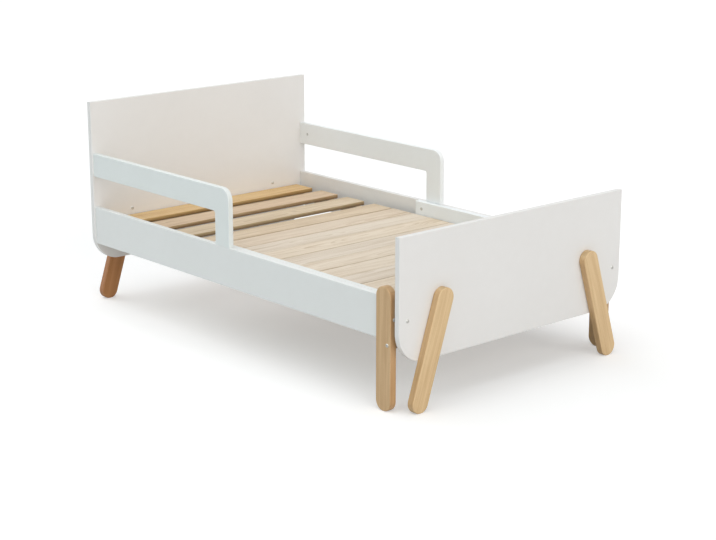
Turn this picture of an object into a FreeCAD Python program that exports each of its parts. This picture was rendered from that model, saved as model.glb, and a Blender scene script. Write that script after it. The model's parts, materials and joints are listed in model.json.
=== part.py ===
import FreeCAD, Part
import Sketcher
import os
import re

# Extendable kids bed: white lacquered boards, guards and nested side rails, beech legs, pine slats.
# The head half stands still. The foot half, with the inner rails, slides out along -Y.
# Millimetres. +X is the sleeper's right, +Y points to the headboard, +Z is up. The origin is on the
# floor under the middle of the closed bed. Left means -X and right means +X.

# Driving dimensions: alias, size, what it is
SIZES = [
    ("board_width", 990, "headboard and footboard, side to side"),
    ("board_thickness", 19, "headboard and footboard"),
    ("board_bottom", 154.5, "lower edge of both boards above the floor"),
    ("board_corner", 100, "radius of the lower corners of both boards"),
    ("board_edge", 1, "eased edge of the boards"),
    ("headboard_top", 740, "top of the headboard above the floor"),
    ("footboard_top", 548, "top of the footboard above the floor"),
    ("inner_length", 1604, "headboard to footboard inside, closed"),
    ("extension", 400, "how far the foot half slides out"),
    ("rail_thickness", 19, "side rails and guards"),
    ("rail_height", 135, "side rails"),
    ("rail_bottom", 222.5, "lower edge of the side rails above the floor"),
    ("rail_inset", 5, "outer rail's face inside the board's side edge"),
    ("rail_edge", 1.5, "eased edge of the rails and guards"),
    ("rail_play", 1, "sliding gap between outer and inner rail"),
    ("inner_rail_share", 0.57, "inner side rail, as a share of the inner length"),
    ("slide_gap", 0.3, "air under what slides over a support"),
    ("leg_width", 65, "every leg, across"),
    ("leg_thickness", 25, "every leg"),
    ("leg_edge", 2, "broken edge of the legs"),
    ("leg_flat", 1, "cut off the round foot to stand flat"),
    ("leg_rise", 325, "mid leg, between its two end centres"),
    ("splay_rise", 309, "splayed leg, height between its two end centres"),
    ("splay_foot_inset", 68, "splayed leg's foot centre from the board's side edge"),
    ("splay_top_inset", 168.5, "splayed leg's top centre from the board's side edge"),
    ("low_bolt_share", 0.56, "lower leg bolt, up the leg's centre line"),
    ("high_bolt_share", 0.965, "upper leg bolt, up the leg's centre line"),
    ("mid_leg_gap", 17, "mid leg to footboard, closed"),
    ("guard_share", 0.4975, "guard from the headboard, as a share of the inner length"),
    ("guard_window", 112.5, "height of the guard's opening"),
    ("guard_beam", 84, "height of the guard's beam"),
    ("guard_post", 75, "width of the guard's post"),
    ("guard_corner", 40, "outer corner radius of the guard"),
    ("guard_inside_corner", 9, "inner corner radius of the guard"),
    ("guard_bolt_rise", 41, "guard's bolt above the beam's lower edge"),
    ("guard_nut_inset", 45, "guard's barrel nut from the headboard"),
    ("slat_share", 0.0611, "slat along the bed, as a share of the inner length"),
    ("slat_thickness", 15, "slat"),
    ("slat_play", 3, "slat's end to the inner rail"),
    ("slat_edge", 1.2, "broken edge of the slats"),
    ("slat_drop", 49.5, "slat tops below the rail tops"),
    ("slat_start", 1, "bolt heads on the headboard to the first slat"),
    ("slat_end", 29, "footboard to the last slat"),
    ("group_gap", 9, "fixed slats to the pushed-up ones"),
    ("wide_gap", 4, "wider gap between pushed-up slats"),
    ("tight_gap", 1, "tighter gap between pushed-up slats"),
    ("ledge_width", 19, "slat ledge on the inner rail"),
    ("ledge_height", 28, "slat ledge, bearer and head ledger"),
    ("ledge_inset", 12, "slat ledge from the inner rail's head end"),
    ("bearer_width", 26, "slat bearer of the head half"),
    ("bearer_gap", 2, "slat bearer to the sliding ledge"),
    ("bearer_inset", 1, "slat bearer's end to the headboard"),
    ("ledger_depth", 25, "head ledger under the bearers"),
    ("beam_thickness", 24, "cross beam between the mid legs"),
    ("beam_lip", 24, "cross beam's ends below the inner rails"),
    ("beam_inset", 2, "cross beam inside the mid leg's edge"),
    ("bolt_diameter", 6, "connecting bolts"),
    ("bolt_hole", 6.6, "clearance hole of the bolts"),
    ("head_diameter", 12, "bolt head"),
    ("head_height", 2, "bolt head"),
    ("nut_diameter", 10, "barrel nut"),
    ("nut_length", 14, "barrel nut"),
    ("nut_hole", 10.3, "hole of the barrel nut"),
    ("nut_bore", 6.2, "cross bore of the barrel nut"),
    ("nut_inset", 34, "barrel nut from the end of its rail"),
    ("beam_bolt_bite", 45, "beam bolt in the cross beam's end"),
    ("bolt_reach", 8, "bolt past the middle of its barrel nut"),
    ("leg_bolt_bite", 16, "leg bolt in the leg"),
    ("post_bolt_bite", 40, "post bolt in the guard's post"),
    ("dowel_diameter", 8, "wooden dowel"),
    ("dowel_length", 30, "wooden dowel"),
    ("dowel_hole", 8.2, "hole of a dowel"),
    ("dowel_board_depth", 10.5, "dowel hole in a board"),
    ("dowel_rail_depth", 20.5, "dowel hole in a rail, leg or guard"),
    ("dowel_drop", 40, "dowel below the rail's bolt"),
    ("guard_dowel_rise", 64, "guard's dowel above the beam's lower edge"),
    ("post_dowel_shift", 22, "dowel beside the guard post's bolt"),
    ("groove_depth", 5.5, "guide groove in the outer rail"),
    ("bush_diameter", 10, "nylon bush of the guide bolt"),
    ("bush_play", 0.4, "groove's edge to the bush"),
    ("bush_length", 4, "nylon bush of the guide bolt"),
    ("bush_bore", 6.2, "bore of the nylon bush"),
    ("guide_inset", 31, "guide bolt from the inner rail's head end"),
    ("guide_drop", 26, "guide bolt below the rail's top"),
]
SLAT_COUNT = 14
FIXED_SLAT_COUNT = 4
TIGHT_SLAT_NUMBERS = (6, 8, 10, 12)
DIGIT_COUNT = 3

doc = FreeCAD.newDocument("kids_bed")
sheet = doc.addObject("Spreadsheet::Sheet", "dims")
for row, (alias, size, note) in enumerate(SIZES, start=1):
    sheet.set(f"A{row}", note)
    sheet.set(f"B{row}", str(size))
    sheet.setAlias(f"B{row}", alias)
doc.recompute()
size_of = {alias: size for alias, size, note in SIZES}
ALIAS = re.compile(r"\b(" + "|".join(size_of) + r")\b")

# Places that several pieces share, as sums of the driving dimensions
HALF_LENGTH = "(inner_length / 2)"
BOARD_FACE = f"({HALF_LENGTH} + board_thickness)"
RAIL_FACE = "(board_width / 2 - rail_inset)"
RAIL_INSIDE = f"({RAIL_FACE} - rail_thickness)"
RAIL_MIDDLE = f"({RAIL_FACE} - rail_thickness / 2)"
INNER_FACE = f"({RAIL_INSIDE} - rail_play)"
INNER_INSIDE = f"({INNER_FACE} - rail_thickness)"
INNER_MIDDLE = f"({INNER_FACE} - rail_thickness / 2)"
LEDGE_INSIDE = f"({INNER_INSIDE} - ledge_width)"
BEARER_FACE = f"({LEDGE_INSIDE} - bearer_gap)"
BEARER_MIDDLE = f"({BEARER_FACE} - bearer_width / 2)"
RAIL_TOP = "(rail_bottom + rail_height)"
RAIL_AXIS = "(rail_bottom + rail_height / 2)"
DOWEL_AXIS = f"({RAIL_AXIS} - dowel_drop)"
OUTER_LENGTH = "(inner_length - mid_leg_gap - leg_width)"
INNER_RAIL_LENGTH = "(inner_rail_share * inner_length)"
GUARD_LENGTH = "(guard_share * inner_length)"
SLAT_WIDTH = "(slat_share * inner_length)"
FOOT_END = f"({HALF_LENGTH} - {OUTER_LENGTH})"
MID_LEG_PLACE = f"(mid_leg_gap + leg_width / 2 - {HALF_LENGTH})"
LEDGE_TOP = f"({RAIL_TOP} - slat_drop - slat_thickness)"
BEARER_TOP = f"({LEDGE_TOP} - slide_gap)"
BEARER_BOTTOM = f"({BEARER_TOP} - ledge_height)"
BEAM_BOTTOM = "(rail_bottom - beam_lip)"
BEAM_PLACE = f"(mid_leg_gap + beam_inset + beam_thickness / 2 - {HALF_LENGTH})"
BEAM_AXIS = f"({BEAM_BOTTOM} + (beam_lip - slide_gap) / 2)"
FOOT_CENTRE = "(leg_width / 2 - leg_flat)"
GUARD_BOLT = f"({RAIL_TOP} + guard_window + guard_bolt_rise)"
GUARD_DOWEL = f"({RAIL_TOP} + guard_window + guard_dowel_rise)"
POST_PLACE = f"({HALF_LENGTH} - {GUARD_LENGTH} + guard_post / 2)"
SPLAY_FOOT = "(board_width / 2 - splay_foot_inset)"
SPLAY_LEAN = "(splay_top_inset - splay_foot_inset)"
SLAT_LENGTH = f"(2 * ({INNER_INSIDE} - slat_play))"
BEARER_LENGTH = "(inner_length - bearer_inset - mid_leg_gap - beam_inset)"
LEDGE_LENGTH = f"({INNER_RAIL_LENGTH} - ledge_inset)"
SIDES = ((-1, "left"), (1, "right"))
LEG_BOLT_SHARES = ("low_bolt_share", "high_bolt_share")


# Binding, bodies and sketches

def bind(target, path, text):
    """Ties a property to the sheet: text is a sum of aliases."""
    target.setExpression(path, ALIAS.sub(r"dims.\1", text))


def place(target, x, y, z, rotation=None):
    """Puts an object at a place given by sums of aliases."""
    if rotation is not None:
        target.Placement = FreeCAD.Placement(FreeCAD.Vector(), rotation)
    for axis, text in zip("xyz", (x, y, z)):
        bind(target, f"Placement.Base.{axis}", text)


def new_body(label, x, y, z):
    body = doc.addObject("PartDesign::Body", label)
    body.Label = label
    place(body, x, y, z)
    return body


def new_sketch(body, name, role, offset=None):
    """An empty sketch on one of the body's own origin planes, or on a plane parallel to it."""
    sketch = body.newObject("Sketcher::SketchObject", name)
    plane = next(item for item in body.Origin.OriginFeatures if item.Role == role)
    sketch.AttachmentSupport = [(plane, "")]
    sketch.MapMode = "FlatFace"
    if offset is not None:
        bind(sketch, "AttachmentOffset.Base.z", offset)
    return sketch


def pin(sketch, curve, point, x, y):
    """Holds a point at a distance from the sketch's two axes."""
    for kind, axis, text in (("DistanceX", -2, x), ("DistanceY", -1, y)):
        if text == "0":
            sketch.addConstraint(Sketcher.Constraint("PointOnObject", curve, point, axis))
        else:
            where = sketch.getPoint(curve, point)
            start = where.x if kind == "DistanceX" else where.y
            number = sketch.addConstraint(Sketcher.Constraint(kind, -1, 1, curve, point, start))
            bind(sketch, f"Constraints[{number}]", text)


def outline(sketch, corners):
    """A closed outline of straight runs through corners, each held from the axes."""
    count = len(corners)
    turn = FreeCAD.Rotation(FreeCAD.Vector(0, 0, 1), 360 / count)
    rough = [FreeCAD.Vector(size_of["leg_width"], size_of["leg_width"] / 2, 0)]
    while len(rough) < count:
        rough.append(turn.multVec(rough[-1]))
    for number in range(count):
        sketch.addGeometry(Part.LineSegment(rough[number], rough[(number + 1) % count]), False)
    for number, (x, y) in enumerate(corners):
        sketch.addConstraint(Sketcher.Constraint("Coincident", number, 2, (number + 1) % count, 1))
        pin(sketch, number, 1, x, y)


def rectangle(sketch, x0, y0, x1, y1):
    outline(sketch, [(x0, y0), (x1, y0), (x1, y1), (x0, y1)])


def circles(sketch, spots, diameter):
    for number, (x, y) in enumerate(spots):
        middle = FreeCAD.Vector(size_of["leg_width"] * (number + 1), size_of["leg_width"], 0)
        sketch.addGeometry(Part.Circle(middle, FreeCAD.Vector(0, 0, 1), size_of["nut_diameter"]), False)
        pin(sketch, number, 3, x, y)
        index = sketch.addConstraint(Sketcher.Constraint("Diameter", number, size_of["nut_diameter"]))
        bind(sketch, f"Constraints[{index}]", diameter)


def round_ended_bar(sketch, start, end, radius, rough_start, rough_end, rough_radius):
    """Two half circles joined by tangent lines, from centre start to centre end."""
    along = (rough_end - rough_start).normalize()
    left = FreeCAD.Vector(-along.y, along.x, 0) * rough_radius
    back = Part.Arc(rough_start + left, rough_start - along * rough_radius, rough_start - left)
    front = Part.Arc(rough_end - left, rough_end + along * rough_radius, rough_end + left)
    sketch.addGeometry([back, front,
                        Part.LineSegment(rough_start - left, rough_end - left),
                        Part.LineSegment(rough_end + left, rough_start + left)], False)
    for line, line_end, arc, arc_end in ((2, 1, 0, 2), (2, 2, 1, 1), (3, 1, 1, 2), (3, 2, 0, 1)):
        sketch.addConstraint(Sketcher.Constraint("Tangent", line, line_end, arc, arc_end))
    sketch.addConstraint(Sketcher.Constraint("Equal", 0, 1))
    pin(sketch, 0, 3, *start)
    pin(sketch, 1, 3, *end)
    index = sketch.addConstraint(Sketcher.Constraint("Radius", 0, rough_radius))
    bind(sketch, f"Constraints[{index}]", radius)


# Features

def pad(body, sketch, length):
    feature = body.newObject("PartDesign::Pad", "pad")
    feature.Profile = sketch
    bind(feature, "Length", length)
    return feature


def pocket(body, sketch, depth=None, along_normal=True):
    """Cuts the sketch out: to a depth or right through, along the sketch's normal or against it."""
    feature = body.newObject("PartDesign::Pocket", "pocket")
    feature.Profile = sketch
    feature.Reversed = along_normal
    if depth is None:
        feature.Type = "ThroughAll"
    else:
        bind(feature, "Length", depth)
    return feature


def drill(body, name, role, spots, diameter, depth=None, offset=None, along_normal=True):
    sketch = new_sketch(body, name, role, offset)
    circles(sketch, spots, diameter)
    return pocket(body, sketch, depth, along_normal)


def treat_edges(body, kind, path, size, wanted):
    """Fillets or chamfers the edges of the body's last feature that wanted picks."""
    doc.recompute()
    base = body.Tip
    names = [f"Edge{number}" for number, edge in enumerate(base.Shape.Edges, start=1) if wanted(edge)]
    feature = body.newObject(kind, "edges")
    feature.Base = (base, names)
    bind(feature, path, size)


def round_edges(body, radius, wanted):
    treat_edges(body, "PartDesign::Fillet", "Radius", radius, wanted)


def break_edges(body, width, wanted):
    treat_edges(body, "PartDesign::Chamfer", "Size", width, wanted)


def same(first, second):
    return round(first - second, DIGIT_COUNT) == 0


def lies_in(edge, axis, level):
    """True for an edge that stays at one level of an axis."""
    box = edge.BoundBox
    return same(getattr(box, axis + "Min"), level) and same(getattr(box, axis + "Max"), level)


def inner_side(side, thickness):
    """Sketch offset and cutting direction for work on the side of a rail that faces the slats."""
    return (None, True) if side > 0 else (thickness, False)


# Boards

def board(label, top, place_y, rail_x, inner_is_far):
    """A board with round lower corners, the rails' bolts from outside and the legs' from inside."""
    body = new_body(label, "-board_width / 2", place_y, "board_bottom")
    sketch = new_sketch(body, "outline", "XZ_Plane")
    height = f"({top} - board_bottom)"
    rectangle(sketch, "0", "0", "board_width", height)
    pad(body, sketch, "board_thickness")
    sides = (0, size_of["board_width"])
    round_edges(body, "board_corner", lambda edge: lies_in(edge, "Z", 0)
                and any(lies_in(edge, "X", x) for x in sides))
    faces = (0, -size_of["board_thickness"])
    break_edges(body, "board_edge", lambda edge: any(lies_in(edge, "Y", face) for face in faces))
    inner = ("board_thickness", False) if inner_is_far else (None, True)

    def spots(*places):
        return [(f"{side} * {x} + board_width / 2", f"{z} - board_bottom")
                for side, name in SIDES for x, z in places]

    bolts = [(rail_x, RAIL_AXIS)]
    dowels = [(rail_x, DOWEL_AXIS)]
    if inner_is_far:
        bolts.append((rail_x, GUARD_BOLT))
        dowels.append((rail_x, GUARD_DOWEL))
    legs = [leg_line(share) for share in LEG_BOLT_SHARES]
    drill(body, "bolt_holes", "XZ_Plane", spots(*bolts, *legs), "bolt_hole")
    drill(body, "dowel_holes", "XZ_Plane", spots(*dowels), "dowel_hole", "dowel_board_depth", *inner)
    return body


def leg_line(share):
    """A place on a splayed leg's centre line, as distances from the bed's middle and the floor."""
    return (f"({SPLAY_FOOT} - {share} * {SPLAY_LEAN})", f"({FOOT_CENTRE} + {share} * splay_rise)")


def headboard():
    return board("headboard", "headboard_top", BOARD_FACE, RAIL_MIDDLE, True)


def footboard():
    return board("footboard", "footboard_top", f"-{HALF_LENGTH}", INNER_MIDDLE, False)


# Side rails

def ease_long_edges(body):
    """Eases the four edges that run along a rail."""
    length = size_of["rail_height"]
    break_edges(body, "rail_edge", lambda edge: edge.BoundBox.YLength > length)


def outer_rail(side, name):
    start = RAIL_INSIDE if side > 0 else f"-{RAIL_FACE}"
    body = new_body(f"side_rail_{name}", start, f"{HALF_LENGTH} - {OUTER_LENGTH}", "rail_bottom")
    sketch = new_sketch(body, "outline", "YZ_Plane")
    rectangle(sketch, "0", "0", OUTER_LENGTH, "rail_height")
    pad(body, sketch, "rail_thickness")
    ease_long_edges(body)
    inside = inner_side(side, "rail_thickness")
    middle = "rail_thickness / 2"
    axis = "rail_height / 2"
    nuts = [("nut_inset", axis), (f"{OUTER_LENGTH} - nut_inset", axis)]
    drill(body, "nut_holes", "YZ_Plane", nuts, "nut_hole", "nut_length", *inside)
    reach = "nut_inset + bolt_reach"
    dowel = [(middle, f"{axis} - dowel_drop")]
    for end, offset, along in (("foot", None, False), ("head", f"-{OUTER_LENGTH}", True)):
        drill(body, f"{end}_bolt_hole", "XZ_Plane", [(middle, axis)], "bolt_hole", reach, offset, along)
        drill(body, f"{end}_dowel_hole", "XZ_Plane", dowel, "dowel_hole", "dowel_rail_depth", offset, along)
    post = f"({OUTER_LENGTH} - {GUARD_LENGTH} + guard_post / 2)"
    drill(body, "post_bolt_hole", "XY_Plane", [(middle, post)], "bolt_hole")
    beside = [(middle, f"{post} + post_dowel_shift")]
    drill(body, "post_dowel_hole", "XY_Plane", beside, "dowel_hole", "dowel_length / 2", "rail_height", False)
    guide_groove(body, inside)
    return body


def guide_groove(body, inside):
    """The blind groove in which the foot half's guide bolts run, as long as the bed extends."""
    sketch = new_sketch(body, "groove", "YZ_Plane", inside[0])
    near = f"({OUTER_LENGTH} - inner_length + {INNER_RAIL_LENGTH} - guide_inset)"
    far = f"({near} - extension)"
    height = "(rail_height - guide_drop)"
    rough = FreeCAD.Vector(size_of["extension"], size_of["rail_height"], 0)
    round_ended_bar(sketch, (near, height), (far, height), "bush_diameter / 2 + bush_play",
                    rough * 2, FreeCAD.Vector(rough.x, rough.y * 2, 0), size_of["bush_diameter"])
    pocket(body, sketch, "groove_depth", inside[1])


def inner_rail(side, name):
    start = INNER_INSIDE if side > 0 else f"-{INNER_FACE}"
    body = new_body(f"inner_rail_{name}", start, f"-{HALF_LENGTH}", "rail_bottom")
    sketch = new_sketch(body, "outline", "YZ_Plane")
    rectangle(sketch, "0", "0", INNER_RAIL_LENGTH, "rail_height")
    pad(body, sketch, "rail_thickness")
    ease_long_edges(body)
    inside = inner_side(side, "rail_thickness")
    middle = "rail_thickness / 2"
    axis = "rail_height / 2"
    drill(body, "nut_hole", "YZ_Plane", [("nut_inset", axis)], "nut_hole", "nut_length", *inside)
    drill(body, "bolt_hole", "XZ_Plane", [(middle, axis)], "bolt_hole", "nut_inset + bolt_reach", None, False)
    dowel = [(middle, f"{axis} - dowel_drop")]
    drill(body, "dowel_hole", "XZ_Plane", dowel, "dowel_hole", "dowel_rail_depth", None, False)
    guide = [(f"{INNER_RAIL_LENGTH} - guide_inset", "rail_height - guide_drop")]
    drill(body, "guide_hole", "YZ_Plane", guide, "bolt_hole")
    return body


# Guards

def guard(side, name):
    """A guard cut from one board: a beam from the headboard and a post that stands on the rail."""
    start = RAIL_INSIDE if side > 0 else f"-{RAIL_FACE}"
    body = new_body(f"guard_{name}", start, f"{HALF_LENGTH} - {GUARD_LENGTH}", RAIL_TOP)
    sketch = new_sketch(body, "outline", "YZ_Plane")
    top = "(guard_window + guard_beam)"
    outline(sketch, [("0", "0"), ("guard_post", "0"), ("guard_post", "guard_window"),
                     (GUARD_LENGTH, "guard_window"), (GUARD_LENGTH, top), ("0", top)])
    pad(body, sketch, "rail_thickness")
    height = size_of["guard_window"] + size_of["guard_beam"]
    length = size_of["guard_share"] * size_of["inner_length"]
    round_edges(body, "guard_corner", lambda edge: lies_in(edge, "Y", 0) and lies_in(edge, "Z", height))
    round_edges(body, "guard_inside_corner", lambda edge: lies_in(edge, "Y", size_of["guard_post"])
                and lies_in(edge, "Z", size_of["guard_window"]))
    faces = (0, size_of["rail_thickness"])
    break_edges(body, "rail_edge", lambda edge: any(lies_in(edge, "X", face) for face in faces)
                and not lies_in(edge, "Z", 0) and not lies_in(edge, "Y", length))
    inside = inner_side(side, "rail_thickness")
    middle = "rail_thickness / 2"
    bolt = "(guard_window + guard_bolt_rise)"
    nut = [(f"{GUARD_LENGTH} - guard_nut_inset", bolt)]
    drill(body, "nut_hole", "YZ_Plane", nut, "nut_hole", "nut_length", *inside)
    head = (f"-{GUARD_LENGTH}", True)
    reach = "guard_nut_inset + bolt_reach"
    drill(body, "beam_bolt_hole", "XZ_Plane", [(middle, bolt)], "bolt_hole", reach, *head)
    dowel = [(middle, "guard_window + guard_dowel_rise")]
    drill(body, "beam_dowel_hole", "XZ_Plane", dowel, "dowel_hole", "dowel_rail_depth", *head)
    post = "guard_post / 2"
    drill(body, "post_bolt_hole", "XY_Plane", [(middle, post)], "bolt_hole", "post_bolt_bite")
    beside = [(middle, f"{post} + post_dowel_shift")]
    drill(body, "post_dowel_hole", "XY_Plane", beside, "dowel_hole", "dowel_length / 2")
    return body


# Legs

def leg_blank(body, role, lean, rise, rough_lean):
    """A bar with two round ends and broken edges, cut flat where it stands."""
    sketch = new_sketch(body, "outline", role)
    top = f"({FOOT_CENTRE} + {rise})"
    rough_foot = FreeCAD.Vector(0, size_of["leg_width"] / 2, 0)
    rough_top = FreeCAD.Vector(rough_lean, size_of[rise], 0)
    round_ended_bar(sketch, ("0", FOOT_CENTRE), (lean, top), "leg_width / 2",
                    rough_foot, rough_top, size_of["leg_width"] / 2)
    pad(body, sketch, "leg_thickness")
    axis = "Y" if role == "XZ_Plane" else "X"
    faces = (0, size_of["leg_thickness"], -size_of["leg_thickness"])
    break_edges(body, "leg_edge", lambda edge: any(lies_in(edge, axis, face) for face in faces))
    floor = new_sketch(body, "floor", role)
    rectangle(floor, "-leg_width", "-leg_width", "leg_width", "0")
    pocket(body, floor)


def splayed_leg(end, side, name):
    """A leg on the outer face of a board, its foot further out than its top."""
    at_head = end == "head"
    depth = f"{BOARD_FACE} + leg_thickness" if at_head else f"-{BOARD_FACE}"
    body = new_body(f"{end}_leg_{name}", f"{side} * {SPLAY_FOOT}", depth, "0")
    lean = f"{-side} * {SPLAY_LEAN}"
    rough_lean = -side * (size_of["splay_top_inset"] - size_of["splay_foot_inset"])
    leg_blank(body, "XZ_Plane", lean, "splay_rise", rough_lean)
    spots = []
    for share in LEG_BOLT_SHARES:
        x, z = leg_line(share)
        spots.append((f"{side} * ({x} - {SPLAY_FOOT})", z))
    board_side = ("leg_thickness", False) if at_head else (None, True)
    drill(body, "bolt_holes", "XZ_Plane", spots, "bolt_hole", "leg_bolt_bite", *board_side)
    return body


def mid_leg(side, name):
    """The upright leg at the outer rail's foot end, in line with the rail."""
    start = RAIL_INSIDE if side > 0 else f"-({RAIL_INSIDE} + leg_thickness)"
    body = new_body(f"mid_leg_{name}", start, MID_LEG_PLACE, "0")
    leg_blank(body, "YZ_Plane", "0", "leg_rise", 0)
    middle = "rail_thickness / 2" if side > 0 else "leg_thickness - rail_thickness / 2"
    head_side = ("-leg_width / 2", True)
    drill(body, "rail_bolt_hole", "XZ_Plane", [(middle, RAIL_AXIS)], "bolt_hole", None, *head_side)
    dowel = [(middle, DOWEL_AXIS)]
    drill(body, "dowel_hole", "XZ_Plane", dowel, "dowel_hole", "dowel_board_depth", *head_side)
    beam = [(f"{BEAM_PLACE} - {MID_LEG_PLACE}", BEAM_AXIS)]
    drill(body, "beam_bolt_hole", "YZ_Plane", beam, "bolt_hole")
    return body


# Battens under the slats

def cross_beam():
    """The beam between the mid legs: its ends dip under the inner rails, its middle holds the bearers."""
    body = new_body("cross_beam", f"-{RAIL_INSIDE}", f"{BEAM_PLACE} + beam_thickness / 2", BEAM_BOTTOM)
    sketch = new_sketch(body, "outline", "XZ_Plane")
    length = f"(2 * {RAIL_INSIDE})"
    notch = f"({RAIL_INSIDE} - {BEARER_FACE})"
    shelf = f"({length} - {notch})"
    lip = "(beam_lip - slide_gap)"
    top = f"({BEARER_BOTTOM} - {BEAM_BOTTOM})"
    outline(sketch, [("0", "0"), (length, "0"), (length, lip), (shelf, lip),
                     (shelf, top), (notch, top), (notch, lip), ("0", lip)])
    pad(body, sketch, "beam_thickness")
    middle = [("-beam_thickness / 2", f"{lip} / 2")]
    drill(body, "left_bolt_hole", "YZ_Plane", middle, "bolt_hole", "beam_bolt_bite")
    drill(body, "right_bolt_hole", "YZ_Plane", middle, "bolt_hole", "beam_bolt_bite", length, False)
    return body


def head_ledger():
    body = new_body("head_ledger", f"-{BEARER_FACE}", HALF_LENGTH, f"{BEARER_BOTTOM} - ledge_height")
    sketch = new_sketch(body, "outline", "XZ_Plane")
    rectangle(sketch, "0", "0", f"2 * {BEARER_FACE}", "ledge_height")
    pad(body, sketch, "ledger_depth")
    return body


def bearer(side, name):
    """A batten of the head half that carries the slats inside the sliding ledge."""
    start = f"{BEARER_FACE} - bearer_width" if side > 0 else f"-{BEARER_FACE}"
    body = new_body(f"bearer_{name}", start, f"{BEAM_PLACE} - beam_thickness / 2", BEARER_BOTTOM)
    sketch = new_sketch(body, "outline", "YZ_Plane")
    rectangle(sketch, "0", "0", BEARER_LENGTH, "ledge_height")
    pad(body, sketch, "bearer_width")
    return body


def ledge(side, name):
    """A batten on the inner rail that carries the slats of the foot half."""
    start = LEDGE_INSIDE if side > 0 else f"-{INNER_INSIDE}"
    body = new_body(f"slat_ledge_{name}", start, f"-{HALF_LENGTH}", f"{LEDGE_TOP} - ledge_height")
    sketch = new_sketch(body, "outline", "YZ_Plane")
    rectangle(sketch, "0", "0", LEDGE_LENGTH, "ledge_height")
    pad(body, sketch, "ledge_width")
    return body


# Slats

def slat_foot_edge(number):
    """Distance from the footboard to the foot-side edge of a slat from the last fixed one on, closed."""
    below = SLAT_COUNT - number
    tight = sum(slat in TIGHT_SLAT_NUMBERS for slat in range(number, SLAT_COUNT))
    group = int(number == FIXED_SLAT_COUNT)
    gaps = f"{below - tight - group} * wide_gap + {tight} * tight_gap + {group} * group_gap"
    return f"(slat_end + {below} * {SLAT_WIDTH} + {gaps})"


def slat_place(number):
    """A slat's foot-side edge along Y: the last ones are pushed up, the first ones spread evenly."""
    if number >= FIXED_SLAT_COUNT:
        return f"({slat_foot_edge(number)} - {HALF_LENGTH})"
    first = "(head_height + slat_start)"
    spread = f"(inner_length - {slat_foot_edge(FIXED_SLAT_COUNT)} - {SLAT_WIDTH} - {first})"
    start = f"({first} + {(number - 1) / (FIXED_SLAT_COUNT - 1)} * {spread})"
    return f"({HALF_LENGTH} - {start} - {SLAT_WIDTH})"


def slat(number):
    if number <= FIXED_SLAT_COUNT:
        level = BEARER_TOP
    elif number == SLAT_COUNT:
        level = LEDGE_TOP
    else:
        level = f"({LEDGE_TOP} + slide_gap)"
    body = new_body(f"slat_{number:02d}", f"-{SLAT_LENGTH} / 2", slat_place(number), level)
    sketch = new_sketch(body, "outline", "XY_Plane")
    rectangle(sketch, "0", "0", SLAT_LENGTH, SLAT_WIDTH)
    pad(body, sketch, "slat_thickness")
    break_edges(body, "slat_edge", lambda edge: edge.BoundBox.XLength > size_of["slat_thickness"])
    return body


# Fasteners: local +Z points the way they are driven, from the outer face of the head

AIM = {
    "+x": FreeCAD.Rotation(FreeCAD.Vector(0, 1, 0), 90),
    "-x": FreeCAD.Rotation(FreeCAD.Vector(0, 1, 0), -90),
    "+y": FreeCAD.Rotation(FreeCAD.Vector(1, 0, 0), -90),
    "-y": FreeCAD.Rotation(FreeCAD.Vector(1, 0, 0), 90),
    "+z": FreeCAD.Rotation(),
    "-z": FreeCAD.Rotation(FreeCAD.Vector(1, 0, 0), 180),
}


def cylinder(name, radius, height, rise=None):
    solid = doc.addObject("Part::Cylinder", name)
    bind(solid, "Radius", radius)
    bind(solid, "Height", height)
    if rise is not None:
        bind(solid, "Placement.Base.z", rise)
    return solid


def joined(kind, name, base, tool):
    result = doc.addObject(kind, name)
    result.Base = base
    result.Tool = tool
    return result


def group(label, members):
    """One node of like pieces, kept as separate solids."""
    compound = doc.addObject("Part::Compound", label)
    compound.Label = label
    compound.Links = members
    return compound


def two_step(name, place_, diameter, length, head_diameter, head_length, head_rise):
    """A shank and a wider head on one axis, joined."""
    shank = cylinder("shank", f"{diameter} / 2", length)
    head = cylinder("head", f"{head_diameter} / 2", head_length, head_rise)
    x, y, z, aim = place_
    piece = joined("Part::Fuse", name, shank, head)
    place(piece, x, y, z, AIM[aim])
    return piece


def bolts(label, length, places):
    """Bolts with a low head that lies on the surface; places are x, y, z and the way they point."""
    return group(label, [two_step("bolt", place_, "bolt_diameter", length, "head_diameter", "head_height",
                                  "-head_height") for place_ in places])


def barrel_nuts(label, places):
    """Barrel nuts with a cross bore along Y; places are x, y, z and the way they are pushed in."""
    members = []
    for x, y, z, aim in places:
        barrel = cylinder("barrel", "nut_diameter / 2", "nut_length")
        bore = cylinder("bore", "nut_bore / 2", "2 * nut_diameter")
        place(bore, "0", "-nut_diameter", "rail_thickness / 2", AIM["+y"])
        nut = joined("Part::Cut", "barrel_nut", barrel, bore)
        place(nut, x, y, z, AIM[aim])
        members.append(nut)
    return group(label, members)


def bushes(label, places):
    members = []
    for x, y, z, aim in places:
        tube = cylinder("tube", "bush_diameter / 2", "bush_length")
        bore = cylinder("tube_bore", "bush_bore / 2", "bush_length")
        bush = joined("Part::Cut", "bush", tube, bore)
        place(bush, x, y, z, AIM[aim])
        members.append(bush)
    return group(label, members)


def dowels(label, places):
    members = []
    for x, y, z, aim in places:
        dowel = cylinder("dowel", "dowel_diameter / 2", "dowel_length")
        place(dowel, x, y, z, AIM[aim])
        members.append(dowel)
    return group(label, members)


def inward(side):
    """The way towards the bed's middle."""
    return "-x" if side > 0 else "+x"


def outward(side):
    return "+x" if side > 0 else "-x"


def both_sides(x, y, z, aim):
    """The same place on the left and on the right."""
    return [(f"{side} * {x}", y, z, aim) for side, name in SIDES]


def leg_bolts(label, face, aim):
    places = []
    for share in LEG_BOLT_SHARES:
        x, z = leg_line(share)
        places.extend(both_sides(x, face, z, aim))
    return bolts(label, "board_thickness + leg_bolt_bite", places)


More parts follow.
